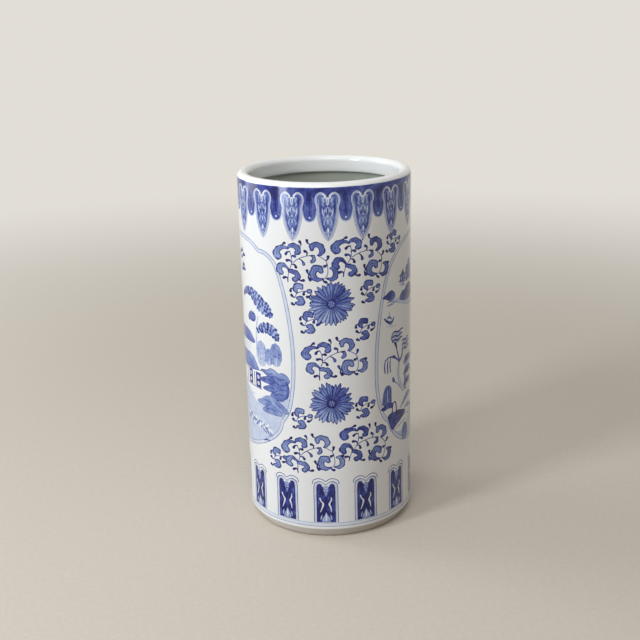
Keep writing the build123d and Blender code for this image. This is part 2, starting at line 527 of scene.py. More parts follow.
def foot_panel(pen):
    """An upright dark panel with two humps on top, inside a pale frame, from its lower edge upwards."""
    pen.line(PANEL_HUMPS, 1.0, 0.82, step=2.0)
    shell = mirrored(PANEL_SHELL, 2.5)
    foot = shell[0, 1]
    for across, up, tone in PANEL_BORDERS:
        pen.area(shell * (across, up) + (0, foot * (1 - up)), tone)
    pen.area(mirrored(PANEL_FIELD, 2.5), 0.98)
    for side in (-1, 1):
        pen.marks(PANEL_SIDE_MARKS, 4.0, side)
    pen.area(mirrored(PANEL_LACE, 1.8), 0.54)
    for x, z in PANEL_LACE_HOLES:
        pen.oval(x, z, 0.75, 0.95, 0.16)
    pen.marks(PANEL_CURLS)
    pen.area(mirrored(PANEL_FLAME, 2.0), 0.36, fade=-0.012)
    pen.stroke(((0, 12, 0.8), (0, 7, 2.2), (0, 3, 1.4)), 0.07)


# Landscape inside a cartouche: across is measured from the cartouche's middle, up from the foot

CARTOUCHE_RUNS = (
    ((-96, 350), (-90, 357.5), (-80, 367), (-67, 376), (-40, 383), (0, 386.2), (30, 384.8), (48, 382),
     (60, 378), (69, 372.4)),
    ((69, 372.4), (77, 372.2), (86, 368.5), (95, 361), (100, 351), (105, 336), (110.5, 314), (115.5, 284),
     (118.5, 250), (118, 215), (114, 185), (109, 168), (100, 154)),
    ((100, 154), (98, 146), (92, 136.5), (82, 127.5), (64, 117), (36, 107), (2, 102), (-36, 104), (-65, 111),
     (-80, 119), (-90, 129), (-96, 138), (-99, 145.5)),
    ((-99, 145.5), (-107, 154), (-112.5, 166), (-116.5, 181), (-119, 201), (-119.5, 226), (-118, 256),
     (-114, 286), (-110, 308), (-105, 328), (-101, 340), (-96, 350)),
)
SHORE = ((-95, 133), (-70, 126), (-50, 134), (-36, 152), (-22, 174), (-8, 185), (10, 187.5), (24, 184.6),
         (40, 177), (54, 170), (70, 184), (112.6, 188))
WILLOW_TRUNK = ((-66, 181, 6), (-71, 188, 5), (-75.4, 197, 4.6), (-77.6, 206, 4.2), (-76.6, 214, 3.8),
                (-75.4, 222, 3.4))
WILLOW_BRANCHES = (
    (0.76, ((-75.4, 223, 3), (-78, 231, 2.4), (-80.6, 238, 2.2), (-83, 246, 4.6), (-87, 251, 3))),
    (0.76, ((-75.6, 222, 3), (-82, 227, 2.2), (-87, 230.6, 4.4), (-92, 231.6, 2.2), (-98, 232, 1.8),
            (-102.6, 229, 1.2))),
    (0.74, ((-75, 221, 3), (-69, 226, 3.4), (-66.6, 232, 3), (-67.4, 240, 2.2))),
    (0.78, ((-88.6, 202, 4.4), (-87.4, 199, 5))),
    (0.6, ((-86, 197.4, 1.4), (-80, 193, 1.2), (-71, 184, 1.0))),
)
WILLOW_LAYERS = ((-89, 262, 23), (-89, 256.6, 21), (-89, 251.4, 21), (-68, 246, 22), (-67.6, 240.4, 23),
                 (-66, 234.6, 21))
BANK_SLOPES = (
    (0.44, ((-72, 158, 1.6), (-62, 164, 5), (-50, 169, 8), (-36, 168, 3))),
    (0.44, ((-60, 154, 1.6), (-48, 154, 6), (-34, 150, 3))),
    (0.64, ((-66, 159.6, 1), (-56, 164.4, 1.8), (-44, 167, 1))),
    (0.3, ((-90, 131, 1.0), (-76, 134.6, 2), (-58, 138, 1.4))),
    (0.3, ((-58, 144, 1), (-44, 142, 2.2), (-26, 144, 1))),
)
PINE_BRANCHES = (
    (0.34, ((23, 307, 3), (33, 313, 8), (46, 314.6, 11), (58, 309.6, 16), (70, 301.6, 18), (80, 297, 15),
            (86, 292, 7))),
    (0.66, ((39, 280, 6), (46, 283, 12), (53, 283, 9))),
    (0.34, ((61, 268, 6), (70, 272.6, 11), (80, 274.6, 13), (89, 271, 13), (95, 262.6, 6))),
)
ROUND_TREES = ((66, 238.6, 10.5, 16, 0.26), (80, 237, 6.6, 10.5, 0.36), (91.6, 242, 9, 14.6, 0.42))

# Rocks are a tone, an outline, ridge lines and, where they differ from the usual, the change of tone per
# mm up and how much darker the lines are
CLIFF_ROCKS = (
    (0.5, ((64, 217), (75, 219), (82, 222.6), (90, 221), (95, 218), (100, 220), (107, 217), (111, 210.6),
           (108, 205), (108.4, 190), (100, 184), (92, 183), (84, 187), (80, 199), (78, 210)),
     (((70, 216), (78, 214.6), (85, 217.4)), ((80, 210), (88, 214), (97, 211), (104, 213)),
      ((84, 204), (90, 206.6), (97, 203), (105, 205.6)), ((87, 197), (94, 200), (102, 197))), -0.003),
    (0.6, ((62, 203), (65, 207), (72, 209.4), (80, 212), (88, 208), (84, 203), (74, 201.6)),
     (((68, 205.6), (76, 207.6), (83, 207)),)),
    (0.57, ((67, 193), (71, 196.6), (77, 199), (83, 202), (92, 200), (90, 194), (80, 191.4)),
     (((74, 195.4), (81, 198), (88, 197)),)),
    (0.54, ((80, 186.6), (84, 190), (92, 194.6), (100, 198), (107, 196), (108, 190), (101, 186.6),
            (101, 183), (90, 182.4)),
     (((88, 189), (94, 191.6), (102, 191)),)),
)
SHORE_ROCKS = (
    (0.42, ((53, 172), (58, 175.6), (66, 178.6), (72, 183), (79, 185), (88, 183), (98, 178), (108, 168.6),
            (100, 166.6), (84, 172), (70, 170)),
     (((62, 175), (72, 178.6), (82, 177)), ((84, 182), (92, 177), (101, 171)),
      ((70, 173), (76, 174.4), (82, 173.4)))),
    (0.46, ((65, 162.6), (67, 167), (73, 169.6), (78, 173.4), (86, 172.4), (93, 169), (99, 164.6), (97, 162),
            (80, 161.4)),
     (((72, 166), (80, 169.6), (88, 167)),)),
)
STANDING_ROCK = (0.55, ((-107, 171), (-107.4, 181), (-105, 190), (-101, 195), (-96, 194.6), (-92.6, 190),
                        (-92.4, 180), (-93.6, 170)),
                 (), 0.0, 0.28)
LEDGE = (0.8, ((-110.6, 166), (-103, 170), (-97, 171.6), (-89.6, 169.6), (-91, 164), (-99, 165),
               (-105, 163.4)),
         (), 0.0, 0.1)
NEAR_BANK = (0.88, ((-99, 153), (-93, 156.6), (-86, 156), (-78, 156.6), (-68, 153.6), (-60, 151), (-59, 147),
                    (-68, 143), (-80, 138.4), (-90, 133.4), (-94, 138), (-97, 146)),
             (((-96, 149.6), (-86, 152), (-76, 151), (-66, 149)),
              ((-93, 142.6), (-84, 146), (-73, 145.4))), 0.0, 0.1)
LOW_ROCK = (0.56, ((-67, 114), (-67.4, 124), (-64, 131.6), (-58, 132.6), (-53, 127), (-49, 118),
                   (-52, 111.4), (-60, 110.4)),
            (((-63, 129), (-62.4, 116)), ((-57.6, 130), (-56, 115))), 0.008)
FAR_ROCKS = (
    (0.76, ((-107, 310.4), (-101, 313.4), (-97, 316), (-92, 317.4), (-87, 315), (-84, 310), (-87, 306),
            (-95, 305.4), (-101, 308)),
     (((-104, 311.6), (-97, 314), (-90, 314)), ((-99, 309), (-92, 311), (-86, 310.4))), 0.012),
    (0.78, ((-74, 303), (-71, 308), (-66, 311), (-60, 311), (-54, 315), (-45, 317), (-37, 315), (-29, 309),
            (-24, 302), (-31, 298), (-50, 296.6), (-66, 299)),
     (((-70, 306), (-63, 308), (-57, 307)), ((-58, 312), (-50, 314), (-43, 312.6)),
      ((-62, 303), (-50, 307.6), (-38, 306)), ((-44, 302), (-36, 305), (-29, 304))), 0.01),
)


def cartouche_border(inset):
    """The lobed closed outline of a cartouche, moved in towards the middle by the given amount."""
    outline = np.vstack([smooth(run, 4.0)[:-1] for run in CARTOUCHE_RUNS])
    return shrunk(outline, -inset)  # the runs go clockwise


def canopy(pen, base, path, draws):
    """A pine branch: a cloud of leaf in a base tone, covered by dark dabs that are set across it."""
    pen.stroke(path, base, step=3.0, lobes=0.3)
    spine = smooth(path, 4.5)
    along, side = directions(spine)
    for row in (-0.44, -0.14, 0.15, 0.44):
        for (x, z, width), ahead, across in zip(spine, along, side):
            middle = (x, z) + across * row * width + ahead * draws.uniform(-1.5, 1.5)
            tilt = across * width * 0.1 + ahead * draws.uniform(-1.2, 1.2)
            dab = ((*(middle - tilt), 2.0), (*middle, draws.uniform(3.4, 4.8)), (*(middle + tilt), 2.0))
            pen.stroke(dab, draws.uniform(0.62, 0.94), step=2.6)


def tree(pen, x, z, across, up, tone, draws):
    """A round tree: a soft scalloped crown full of small upright dabs, with a bare gap for its trunk."""
    rim, dab_room, dab_half = 0.8, 4.5, 1.5
    angles = np.linspace(0, 2 * math.pi, 40, endpoint=False)
    bumps = 1 + 0.07 * np.abs(np.sin(angles * 5))
    crown = np.column_stack([np.cos(angles) * across * bumps, np.sin(angles) * up * bumps])
    pen.area(crown + (x, z), tone + 0.1)
    pen.area(crown * (1 - rim / across, 1 - rim / up) + (x, z), tone, fade=0.004)
    for i in range(round(across * up / dab_room)):
        turn = draws.uniform(0, 2 * math.pi)
        far = 0.88 * math.sqrt(draws.random())
        dx, dz = x + across * far * math.cos(turn), z + up * far * math.sin(turn)
        lean = draws.uniform(-0.8, 0.8)
        dab = ((dx - lean, dz - dab_half, 0.7), (dx, dz, draws.uniform(1.2, 1.9)),
               (dx + lean, dz + dab_half, 0.6))
        pen.stroke(dab, tone + draws.uniform(0.08, 0.3), step=2.4)
    trunk = ((x + 0.4, z - up - 1, 1.5), (x, z - up * 0.6, 1.1), (x + 0.5, z - up * 0.25, 0.6))
    pen.stroke(trunk, 0.06, step=3.0)


def rock(pen, tone, outline, ridges=(), fade=0.0, edge=0.27):
    """A rock or a hill: an outlined wash with darker ridge lines, each with a shaded strip under it."""
    shape = smooth(outline, 2.5, closed=True)
    dark = min(INK, tone + edge)
    pen.area(shape, tone, fade=fade)
    for ridge in ridges:
        widths = [0.8] + [2.4] * (len(ridge) - 2) + [0.8]
        strip = [(x + 0.3, z - 1.3, width) for (x, z), width in zip(ridge, widths)]
        pen.stroke(strip, min(INK, tone + 0.09), step=3.0)
        pen.line(ridge, 0.75, dark, step=2.4)
    pen.ring(shape, 0.8, dark, step=3.0)


def roof(pen, tone, outline, ribs):
    """A tiled roof: a wash that darkens towards the eaves, with fine ribs and an outline."""
    pen.area(outline, tone, fade=-0.009)
    for rib in ribs:
        pen.line(rib, 0.55, tone + 0.14, step=6.0)
    for edge in zip(outline, outline[1:] + outline[:1]):
        pen.line(edge, 0.75, 0.72, step=6.0)


def dashes(pen, spots, half, width, tone):
    """Short level strokes, each about a spot."""
    for x, z in spots:
        rows = ((x - half, z, width * 0.4), (x, z + 0.3, width), (x + half, z - 0.1, width * 0.4))
        pen.stroke(rows, tone, step=4.0)


def far_shore(pen):
    """Hills, an islet with a small house and tall trees, and a boat, high on the left."""
    shallows = ((-96, 305, 1.6), (-80, 302, 6), (-62, 297, 9), (-40, 292, 9), (-20, 288, 3))
    pen.stroke(shallows, 0.2, step=4.0)
    dashes(pen, ((-93, 303.4), (-86, 301), (-94, 299.2)), 6, 2.2, 0.42)
    for hill in FAR_ROCKS:
        rock(pen, *hill)
    dashes(pen, ((-68, 320.6), (-60, 322), (-64, 317.8)), 6.5, 2.2, 0.42)
    for x, z, across, up in ((-52, 331, 6, 11), (-44, 336, 7, 12), (-38, 330, 5, 10), (-46, 327, 9, 6)):
        pen.oval(x, z, across, up, 0.74, cover=0.9)
    for x, low, high in ((-54, 325, 339), (-49, 327, 345), (-43, 326, 346), (-38, 325, 338)):
        pen.stroke(((x, low, 1.0), (x - 0.6, (low + high) / 2, 2.4), (x, high, 0.8)), 0.9, step=4.0)
    for x, z in ((-51, 333), (-46.6, 339), (-41, 333), (-45, 330)):
        pen.oval(x, z, 1.2, 1.6, 0.42)
    pen.area(((-74, 325), (-58.6, 325), (-60, 331.6), (-72, 331.6)), 0.72)
    house_roof = ((-76.4, 330.6), (-71, 333), (-66.6, 337.4), (-65.4, 341), (-64.4, 337.4), (-61.4, 333.4),
                  (-57.4, 330.6))
    pen.area(house_roof, 0.92)
    pen.stroke(((-76, 324.6, 1.2), (-68, 324, 2.6), (-56.6, 325, 1.2)), 0.9, step=3.0)
    for x in (-69.4, -63.6):
        pen.line(((x, 326.4), (x, 330.6)), 1.3, 0.3, step=4.0)
    boat = ((-104.4, 284, 1.8), (-100, 279.8, 3.2), (-93, 276.4, 4.4), (-88.4, 279.6, 2.8),
            (-87, 282.6, 1.4))
    pen.stroke(boat, 0.84)
    pen.stroke(((-100.4, 283, 1.2), (-96, 284.4, 3.2), (-91.6, 281.4, 1.8)), 0.6)
    pen.line(((-95.4, 284), (-95.6, 290.6)), 0.9, 0.6)
    dashes(pen, ((-95, 272.6), (-88, 270.4)), 7, 1.1, 0.3)


def willow(pen):
    """A bent tree with flat wavy layers of leaf and hanging strands, on the left bank."""
    pen.stroke(WILLOW_TRUNK, 0.74)
    pen.stroke(WILLOW_TRUNK, 0.14, inset=0.75)
    pen.marks(WILLOW_BRANCHES)
    top = 230.6
    for x, length in ((-104, 17), (-99, 19), (-94.4, 18)):
        pen.stroke(((x + 1, top, 1.2), (x - 0.4, 222, 2.2), (x + 0.4, top - length, 2)), 0.7)
    for x, z in ((-79, 255.6), (-57, 239.6)):
        pen.oval(x, z, 11.5, 7.4, 0.2)
    shares = (0, 0.2, 0.4, 0.6, 0.8, 1.0)
    for x, z, reach in WILLOW_LAYERS:
        wave = [(x + reach * t, z + 1.1 * math.sin(t * 9), 2.6 - 1.4 * abs(t - 0.45)) for t in shares]
        pen.stroke(wave, 0.86)
        pen.line([(px, pz - 2.6) for px, pz, width in wave[1:-1]], 1.0, 0.3)
    pen.stroke(((-89, 262, 2), (-91.4, 256, 2.2), (-89, 250, 2)), 0.74)


def left_bank(pen):
    """A tall standing rock, a small arch and the dark near bank with its slopes, low on the left."""
    rock(pen, *STANDING_ROCK)
    for x, low, high in ((-104.4, 174, 187), (-101, 172, 192), (-98, 172, 193), (-95, 173, 190)):
        crack = ((x, low, 0.8), (x - 0.5, (low + high) / 2, 1.5), (x + 0.4, high, 0.8))
        pen.stroke(crack, 0.72, step=4.0)
    pen.stroke(((-99.4, 174, 1), (-99.6, 183, 1.6), (-99, 190, 0.8)), 0.26, step=4.0)
    for z in (174, 178, 182, 186, 190):
        pen.oval(-93.4, z, 1.3, 1.6, 0.84)
    rock(pen, *LEDGE)
    arch = ((-90.4, 154, 2.2), (-90.2, 163, 2), (-88, 169.4, 2), (-84, 169, 2.2), (-82.2, 163, 2.4),
            (-82, 154, 2.4))
    pen.stroke(arch, 0.86)
    rock(pen, *NEAR_BANK)
    pen.marks(BANK_SLOPES, 4.0)
    rock(pen, *LOW_ROCK)


def pavilion(pen):
    """A two-storey pavilion with wide roofs, lattice and a gate, and a stepped tower, in the middle."""
    post_tone, lattice_tone = 0.68, 0.52
    for z, far in ((243.6, 40), (239.4, 38), (235.4, 36)):
        pen.line(((-6, z), (far, z + 0.6)), 0.8, 0.3, step=8.0)
    roof(pen, 0.56, ((-22, 249), (-10, 258.6), (0, 264), (30, 263.6), (41, 261), (47, 256.6), (53.6, 250.6),
                     (49, 248), (14, 247.4)),
         [((x, 262), (x + (x - 14) * 0.14, 249.6)) for x in range(-4, 42, 5)])
    roof(pen, 0.54, ((-34, 214), (-22, 224), (-8, 232), (38, 232.6), (48, 229.6), (53, 224), (59.4, 216),
                     (54, 213.4), (14, 211.4)),
         [((x, 230.4), (x + (x - 12) * 0.2, 214)) for x in range(-14, 46, 5)])
    pen.line(((-26, 210.6), (16, 209.6), (40, 211.6), (68, 216)), 1.0, 0.72, step=6.0)
    for x in (-24, -8, 9, 24, 47.4):
        pen.line(((x, 209.6), (x, 190.6)), 1.8, post_tone, step=8.0)
    for z in (195, 200, 205):
        pen.line(((-24, z), (9, z)), 0.8, lattice_tone, step=8.0)
    for x in (-20, -16, -12, -4, 0, 4):
        pen.line(((x, 190.6), (x, 200)), 0.7, lattice_tone, step=8.0)
    for x in (36.6, 57):
        pen.area(((x - 5.8, 191), (x + 5.6, 191), (x + 5.6, 211), (x - 5.8, 211)), 0.86)
        for z in (205, 196.6):
            pen.oval(x, z, 2.9, 2.5, 0.04)
            pen.line(((x - 2.6, z), (x + 2.6, z)), 0.7, 0.6, step=4.0)
    pen.line(((-34, 190), (10, 189.4), (64, 190.4)), 1.2, post_tone, step=8.0)
    for low, high, far in ((215, 223, -34), (200, 208, -36), (186, 192.6, -38)):
        roof(pen, 0.74, ((-64, low - 1), (-61, low + 3), (-57, high), (far - 4, high), (far, low)),
             [((x, high - 1), (x - 2, low + 1)) for x in range(-56, -40, 5)])
        pen.line(((-60, low - 2.6), (far - 2, low - 2.6)), 0.8, 0.5, step=8.0)
    pen.area(((-61, 178), (-55.6, 178), (-55.6, 198), (-61, 198)), 0.66)
    pen.area(((-59, 207.6), (-46, 207.6), (-46, 213), (-59, 213)), 0.3)


def right_bank(pen, draws):
    """Birds, pine branches, round trees and layered rocks on the right."""
    for x, z in ((12, 358), (21, 361.6), (29, 357), (19, 353), (26, 344), (22, 338), (29, 339)):
        pen.stroke(((x - 5, z - 2, 1.4), (x - 0.6, z + 1.2, 5.6), (x + 5, z, 1.6)), 0.86, step=2.4)
    pen.stroke(((62, 285, 2.6), (58, 272, 2.6), (57, 258, 2.4), (57, 244, 2), (61, 226, 1.6)), 0.4)
    pen.stroke(((62, 285, 1.2), (58.2, 272, 1.3), (57.4, 258, 1.1), (57.4, 246, 0.8)), 0.1)
    for base, path in PINE_BRANCHES:
        canopy(pen, base, path, draws)
    for crown in ROUND_TREES:
        tree(pen, *crown, draws)
    for cliff in CLIFF_ROCKS:
        rock(pen, *cliff)
    pen.stroke(((106, 209, 2), (108.4, 201, 3.6), (107.4, 193, 4), (104, 187, 2)), 0.72)
    for boulder in SHORE_ROCKS:
        rock(pen, *boulder)


def reeds(pen, draws):
    """Level ripples all over the water, and white and blue reeds near the shore."""
    ripple_rows, short_rows, reed_count, shore_start = 11, 9, 50, 24
    for row in range(ripple_rows):
        z = 118 + 6 * row
        reach = 36 + 4.6 * row if row < short_rows else 50
        for x in np.arange(8, reach, 15):
            spot = (x + draws.uniform(-5, 5), z + draws.uniform(-2.4, 2.4))
            dashes(pen, (spot,), draws.uniform(4, 8), draws.uniform(1.0, 1.7), draws.uniform(0.25, 0.31))
    for i in range(reed_count):
        x = shore_start + 1.14 * i + draws.uniform(-1.5, 1.5)
        z = 146 - 0.18 * (x - shore_start) + draws.uniform(-4.4, 4.4)
        tone = draws.uniform(0.46, 0.72)
        if i % 2:
            z, tone = z + 1.8, 0.02
        lean = draws.uniform(-2.8, 2.8)
        blade = ((x - lean, z - 2, 1.3), (x, z, draws.uniform(2.8, 4.2)), (x + lean, z + 2.4, 1.2))
        pen.stroke(blade, tone, step=3.0)
    pen.stroke(((64, 121, 0.8), (70, 123.4, 1.8), (77, 124, 0.8)), 0.8)


def cartouche(sheet, middle, draws):
    """A lobed frame of two lines with a pale edge, and the landscape inside it."""
    pen = Pen(sheet, middle, 0)
    edge_width, edge_tone, bare, water_tone, bank_top = 4.4, 0.13, 0.0, 0.2, 190
    outer, inner = cartouche_border(0), cartouche_border(edge_width)
    pen.area(outer, edge_tone)
    pen.area(inner, bare)
    shore = smooth(SHORE, 4.0)
    bank = inner[inner[:, 1] < bank_top]
    bank = bank[np.argsort(bank[:, 0])]
    floor = np.column_stack([shore[:, 0], np.interp(shore[:, 0], bank[:, 0], bank[:, 1])])
    pen.between(shore, floor, water_tone)
    reeds(pen, draws)
    for outline, width, tone in ((outer, 0.85, 0.58), (inner, 0.75, 0.54)):
        pen.ring(outline, width, tone, step=5.0)
    far_shore(pen)
    pavilion(pen)
    willow(pen)
    left_bank(pen)
    right_bank(pen, draws)


# Ground tones from the foot up: bare glaze, two thin lines, bare glaze and the band at the mouth
GROUND_BANDS = ((wall_low, 0.0), (17.1, 0.44), (17.9, 0.08), (21.7, 0.34), (22.4, 0.0), (436.0, BAND_TONE))


def paint_sheet():
    """The whole painting, laid out on the sheet."""
    seed = 11
    cartouche_middles, floral_middles = (-160.0, 180.0), (0.0, girth / 2)
    lappets, lappet_start, lappet_tip, pendant_start, pendant_tip = 16, 3.5, 388, 24.7, 412
    panels, panel_start, panel_foot = 13, -6.5, 22.4
    sheet = Sheet()
    draws = random.Random(seed)
    for middle in cartouche_middles:
        cartouche(sheet, middle, draws)
    for middle in floral_middles:
        floral_panel(sheet, middle, draws)
    for i in range(lappets):
        pendant(Pen(sheet, pendant_start + girth * i / lappets, pendant_tip))
    for i in range(lappets):
        lappet(Pen(sheet, lappet_start + girth * i / lappets, lappet_tip))
    for i in range(panels):
        foot_panel(Pen(sheet, panel_start + girth * i / panels, panel_foot))
    return sheet


# Meshes


def finished(mesh, materials, node):
    """Links a mesh as a piece of the same name, which stands for a CAD node and rides with the pot."""
    piece = bpy.data.objects.new(mesh.name, mesh)
    bpy.context.scene.collection.objects.link(piece)
    for material in materials:
        mesh.materials.append(material)
    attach(piece, "root")
    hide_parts(node)


def turned(radius, turns, z):
    """Places in metres at a radius, at turns from the front to the viewer's right, and at a height."""
    radius, turns, z = np.broadcast_arrays(radius, turns, z)
    return np.column_stack([radius * np.sin(turns), -radius * np.cos(turns), z]) * MM


def seam_partners(corners, used):
    """For each corner its own number, or that of the corner that it meets at the seam."""
    seam = [i for i in used if abs(corners[i, 0]) > girth / 2 - 2 * TINY]
    seam.sort(key=lambda i: corners[i, 1])
    partner = np.arange(len(corners))
    for under, over in zip(seam, seam[1:]):
        if corners[over, 1] - corners[under, 1] < 2 * TINY:
            partner[over] = partner[under]
    return partner


def corners_at(corners, used, z):
    """Numbers of the corners along the top or bottom edge, from the left of the sheet to its right."""
    found = [i for i in used if abs(corners[i, 1] - z) < 2 * TINY]
    return sorted(found, key=lambda i: corners[i, 0])


def flat_map(corners, triangles, columns):
    """Where each face corner lies on a flat map: the painting above, and the inside in bands below it."""
    inner_share, gap, top = 0.34, 0.01, 0.98
    depths = [inner_share * share for share in (0.99, 0.96, 0.68, 0.16, 0.08, 0.04, 0.01)]
    across = corners[:, 0] / girth + 0.5
    up = inner_share + gap + (top - inner_share) * (corners[:, 1] - wall_low) / (wall_high - wall_low)
    parts = [np.column_stack([across, up])[triangles].reshape(-1, 2)]
    left, right = np.arange(columns) / columns, np.arange(1, columns + 1) / columns
    for upper, lower in zip(depths, depths[1:]):
        over, under = np.full(columns, upper), np.full(columns, lower)
        parts.append(np.column_stack([left, over, right, over, right, under, left, under]).reshape(-1, 2))
    return np.vstack(parts)


def wall_normals(turns, triangles, top, bands):
    """The exact direction of the surface at each face corner: outwards on the painting, up on the wall's
    top edge, inwards on its inside and down on its lower edge."""
    outward = np.column_stack([np.sin(turns), -np.cos(turns), np.zeros(len(turns))])
    inward = -outward[top]
    side = np.stack([inward[:-1], inward[1:], inward[1:], inward[:-1]], axis=1).reshape(-1, 3)
    level = np.tile((0.0, 0.0, 1.0), (len(side), 1))
    return np.vstack([outward[triangles].reshape(-1, 3), level] + [side] * (bands - 2) + [-level])


def roll_up(corners, triangles, tones):
    """The painted sheet rolled up into a closed wall with its inner face, as one mesh.
    Corners carry the cobalt tone, the exact normal of the pot and a flat map of the sheet."""
    columns, mid_height = round(girth / GRID), 300.0
    inside = [(mouth_wall_radius, z) for z in (wall_high, mid_height, coil_high + thick_height)]
    inside += [(floor_radius, z) for z in (coil_high, wall_low)]
    used = np.unique(triangles)
    partner = seam_partners(corners, used)
    joined = partner[triangles]
    whole = (joined != np.roll(joined, 1, axis=1)).all(axis=1)
    triangles, joined, tones = triangles[whole], joined[whole], tones[whole]
    turns = corners[:, 0] / body_radius
    top, bottom = corners_at(corners, used, wall_high), corners_at(corners, used, wall_low)

    places = [turned(outer_radius(corners[:, 1]), turns, corners[:, 1])]
    places += [turned(radius, turns[top[:-1]], z) for radius, z in inside]
    rows = [len(corners) + columns * k + np.arange(columns) for k in range(len(inside))]
    rows = [partner[top[:-1]]] + rows + [partner[bottom[:-1]]]
    quads = np.vstack([np.column_stack([upper, np.roll(upper, -1), np.roll(lower, -1), lower])
                       for upper, lower in zip(rows, rows[1:])])
    kept, order = np.unique(np.concatenate([joined.ravel(), quads.ravel()]), return_inverse=True)
    faces = order[:joined.size].reshape(-1, 3).tolist() + order[joined.size:].reshape(-1, 4).tolist()
    mesh = bpy.data.meshes.new("wall_painted")
    mesh.from_pydata(np.vstack(places)[kept].tolist(), [], faces)

    cobalt = np.concatenate([tones.ravel(), np.zeros(quads.size)]).astype(np.float32)
    mesh.attributes.new("cobalt", "FLOAT", "CORNER").data.foreach_set("value", cobalt)
    flat = flat_map(corners, triangles, columns).astype(np.float32)
    mesh.uv_layers.new(name="OFBake").data.foreach_set("uv", flat.ravel())
    is_inner = np.repeat((0, 1), (len(joined), len(quads))).astype(np.int32)
    mesh.polygons.foreach_set("material_index", is_inner)
    mesh.polygons.foreach_set("use_smooth", np.ones(len(faces), bool))
    mesh.normals_split_custom_set(wall_normals(turns, triangles, top, len(rows) - 1).tolist())
    return mesh


def lathe(name, profile, columns, change=None):
    """A solid turned from a closed profile of (radius, height) that runs clockwise, with an optional change
    by turn. Points on the axis are made once."""
    sharp_angle = 50
    points, number = [], {}
    for i in range(columns):
        turn = 2 * math.pi * i / columns
        for k, (radius, z) in enumerate(profile):
            if radius == 0 and i > 0:
                number[i, k] = number[0, k]
                continue
            r, h = change(turn, radius, z) if change else (radius, z)
            number[i, k] = len(points)
            points.append((r * math.sin(turn) * MM, -r * math.cos(turn) * MM, h * MM))
    faces = []
    for i in range(columns):
        j = (i + 1) % columns
        for k in range(len(profile)):
            m = (k + 1) % len(profile)
            face = dict.fromkeys((number[i, k], number[i, m], number[j, m], number[j, k]))
            if len(face) > 2:
                faces.append(tuple(face))
    mesh = bpy.data.meshes.new(name)
    mesh.from_pydata(points, [], faces)
    mesh.polygons.foreach_set("use_smooth", np.ones(len(faces), bool))
    mesh.set_sharp_from_angle(angle=math.radians(sharp_angle))
    return mesh


def arc(middle_r, middle_z, radius, start, end, count):
    """Points of (radius, height) on an arc between two angles in degrees, counted from the level outward."""
    angles = np.radians(np.linspace(start, end, count))
    return [(middle_r + radius * math.cos(a), middle_z + radius * math.sin(a)) for a in angles]


def make_lip(material):
    """The rolled lip: a half round on top, and a collar with a soft lower edge inside the mouth."""
    roll = (body_radius - mouth_radius) / 2
    soft, crest_wander, edge_wander = 2.2, 0.22, 0.3
    profile = [(mouth_wall_radius, wall_high), (mouth_wall_radius, collar_low)]
    profile += arc(mouth_radius + soft, collar_low + soft, soft, 270, 180, 6)
    profile += [(mouth_radius, z) for z in (wall_high - 8, wall_high - 4)]
    profile += arc(body_radius - roll, wall_high, roll, 180, 0, 25)

    def uneven(turn, radius, z):
        """Hand-rolled: the crest and the collar's lower edge wander by a fraction of a millimetre."""
        wander = 0.5 * math.sin(2 * turn + 0.6) + 0.3 * math.sin(5 * turn + 1.1) + 0.2 * math.sin(11 * turn)
        crest = max(0.0, (z - wall_high) / roll)
        lift = edge_wander * (1 + wander) if z < collar_low + soft else 0
        return radius, z - crest * crest_wander * (1 + wander) + lift

    finished(lathe("lip_glazed", profile, 240, uneven), [material], "lip")


def make_foot(material):
    """The foot ring: a soft-edged bevel down to the bare resting face, hollow under the floor."""
    soft, edge_in, bow, bore_edge = 1.2, 0.25, 0.92, 0.3
    bevel = flare_radius - foot_land_out
    profile = [(flare_radius, wall_low), (flare_radius - edge_in, wall_low - soft)]
    profile += [(foot_land_out + bevel * share**bow, wall_low * share)
                for share in (0.8, 0.6, 0.4, 0.22, 0.1, 0.04)]
    profile += [(foot_land_out - soft / 2, 0.12), (foot_land_out - soft, 0)]
    profile += [(foot_land_out * (1 - k) + foot_land_in * k, 0) for k in (0.35, 0.65)]
    profile += [(foot_land_in, 0), (foot_bore_radius + bore_edge, foot_land_in - foot_bore_radius - 0.2)]
    profile += [(foot_bore_radius, slab_low * 0.6), (foot_bore_radius, slab_low), (floor_radius, slab_low),
                (floor_radius, wall_low)]
    finished(lathe("foot_glazed", profile, 240), [material], "foot_ring")


def make_floor(material):
    """The floor slab, with the spiral left by the thrower's fingers on top and a dished underside."""
    rings, spiral_step, spiral_depth, calm = 61, 11, 0.45, 12
    mid_radius, mid_dish, middle_dish = floor_radius * 0.5, 0.8, 1.2
    profile = [(floor_radius * k / rings, slab_high) for k in range(rings + 1)]
    profile += [(floor_radius, slab_low), (foot_bore_radius, slab_low)]
    profile += [(mid_radius, slab_low + mid_dish * (1 - mid_radius / foot_bore_radius)),
                (0, slab_low + middle_dish)]

    def thrown(turn, radius, z):
        """The spiral groove, which dies out at the middle and at the wall."""
        if z < slab_high:
            return radius, z
        wave = 1 + math.sin(2 * math.pi * radius / spiral_step + turn)
        share = min(1.0, (floor_radius - radius) / calm) * min(1.0, radius / calm)
        return radius, z - spiral_depth * wave * share

    finished(lathe("floor_thrown", profile, 180, thrown), [material], "floor_slab")


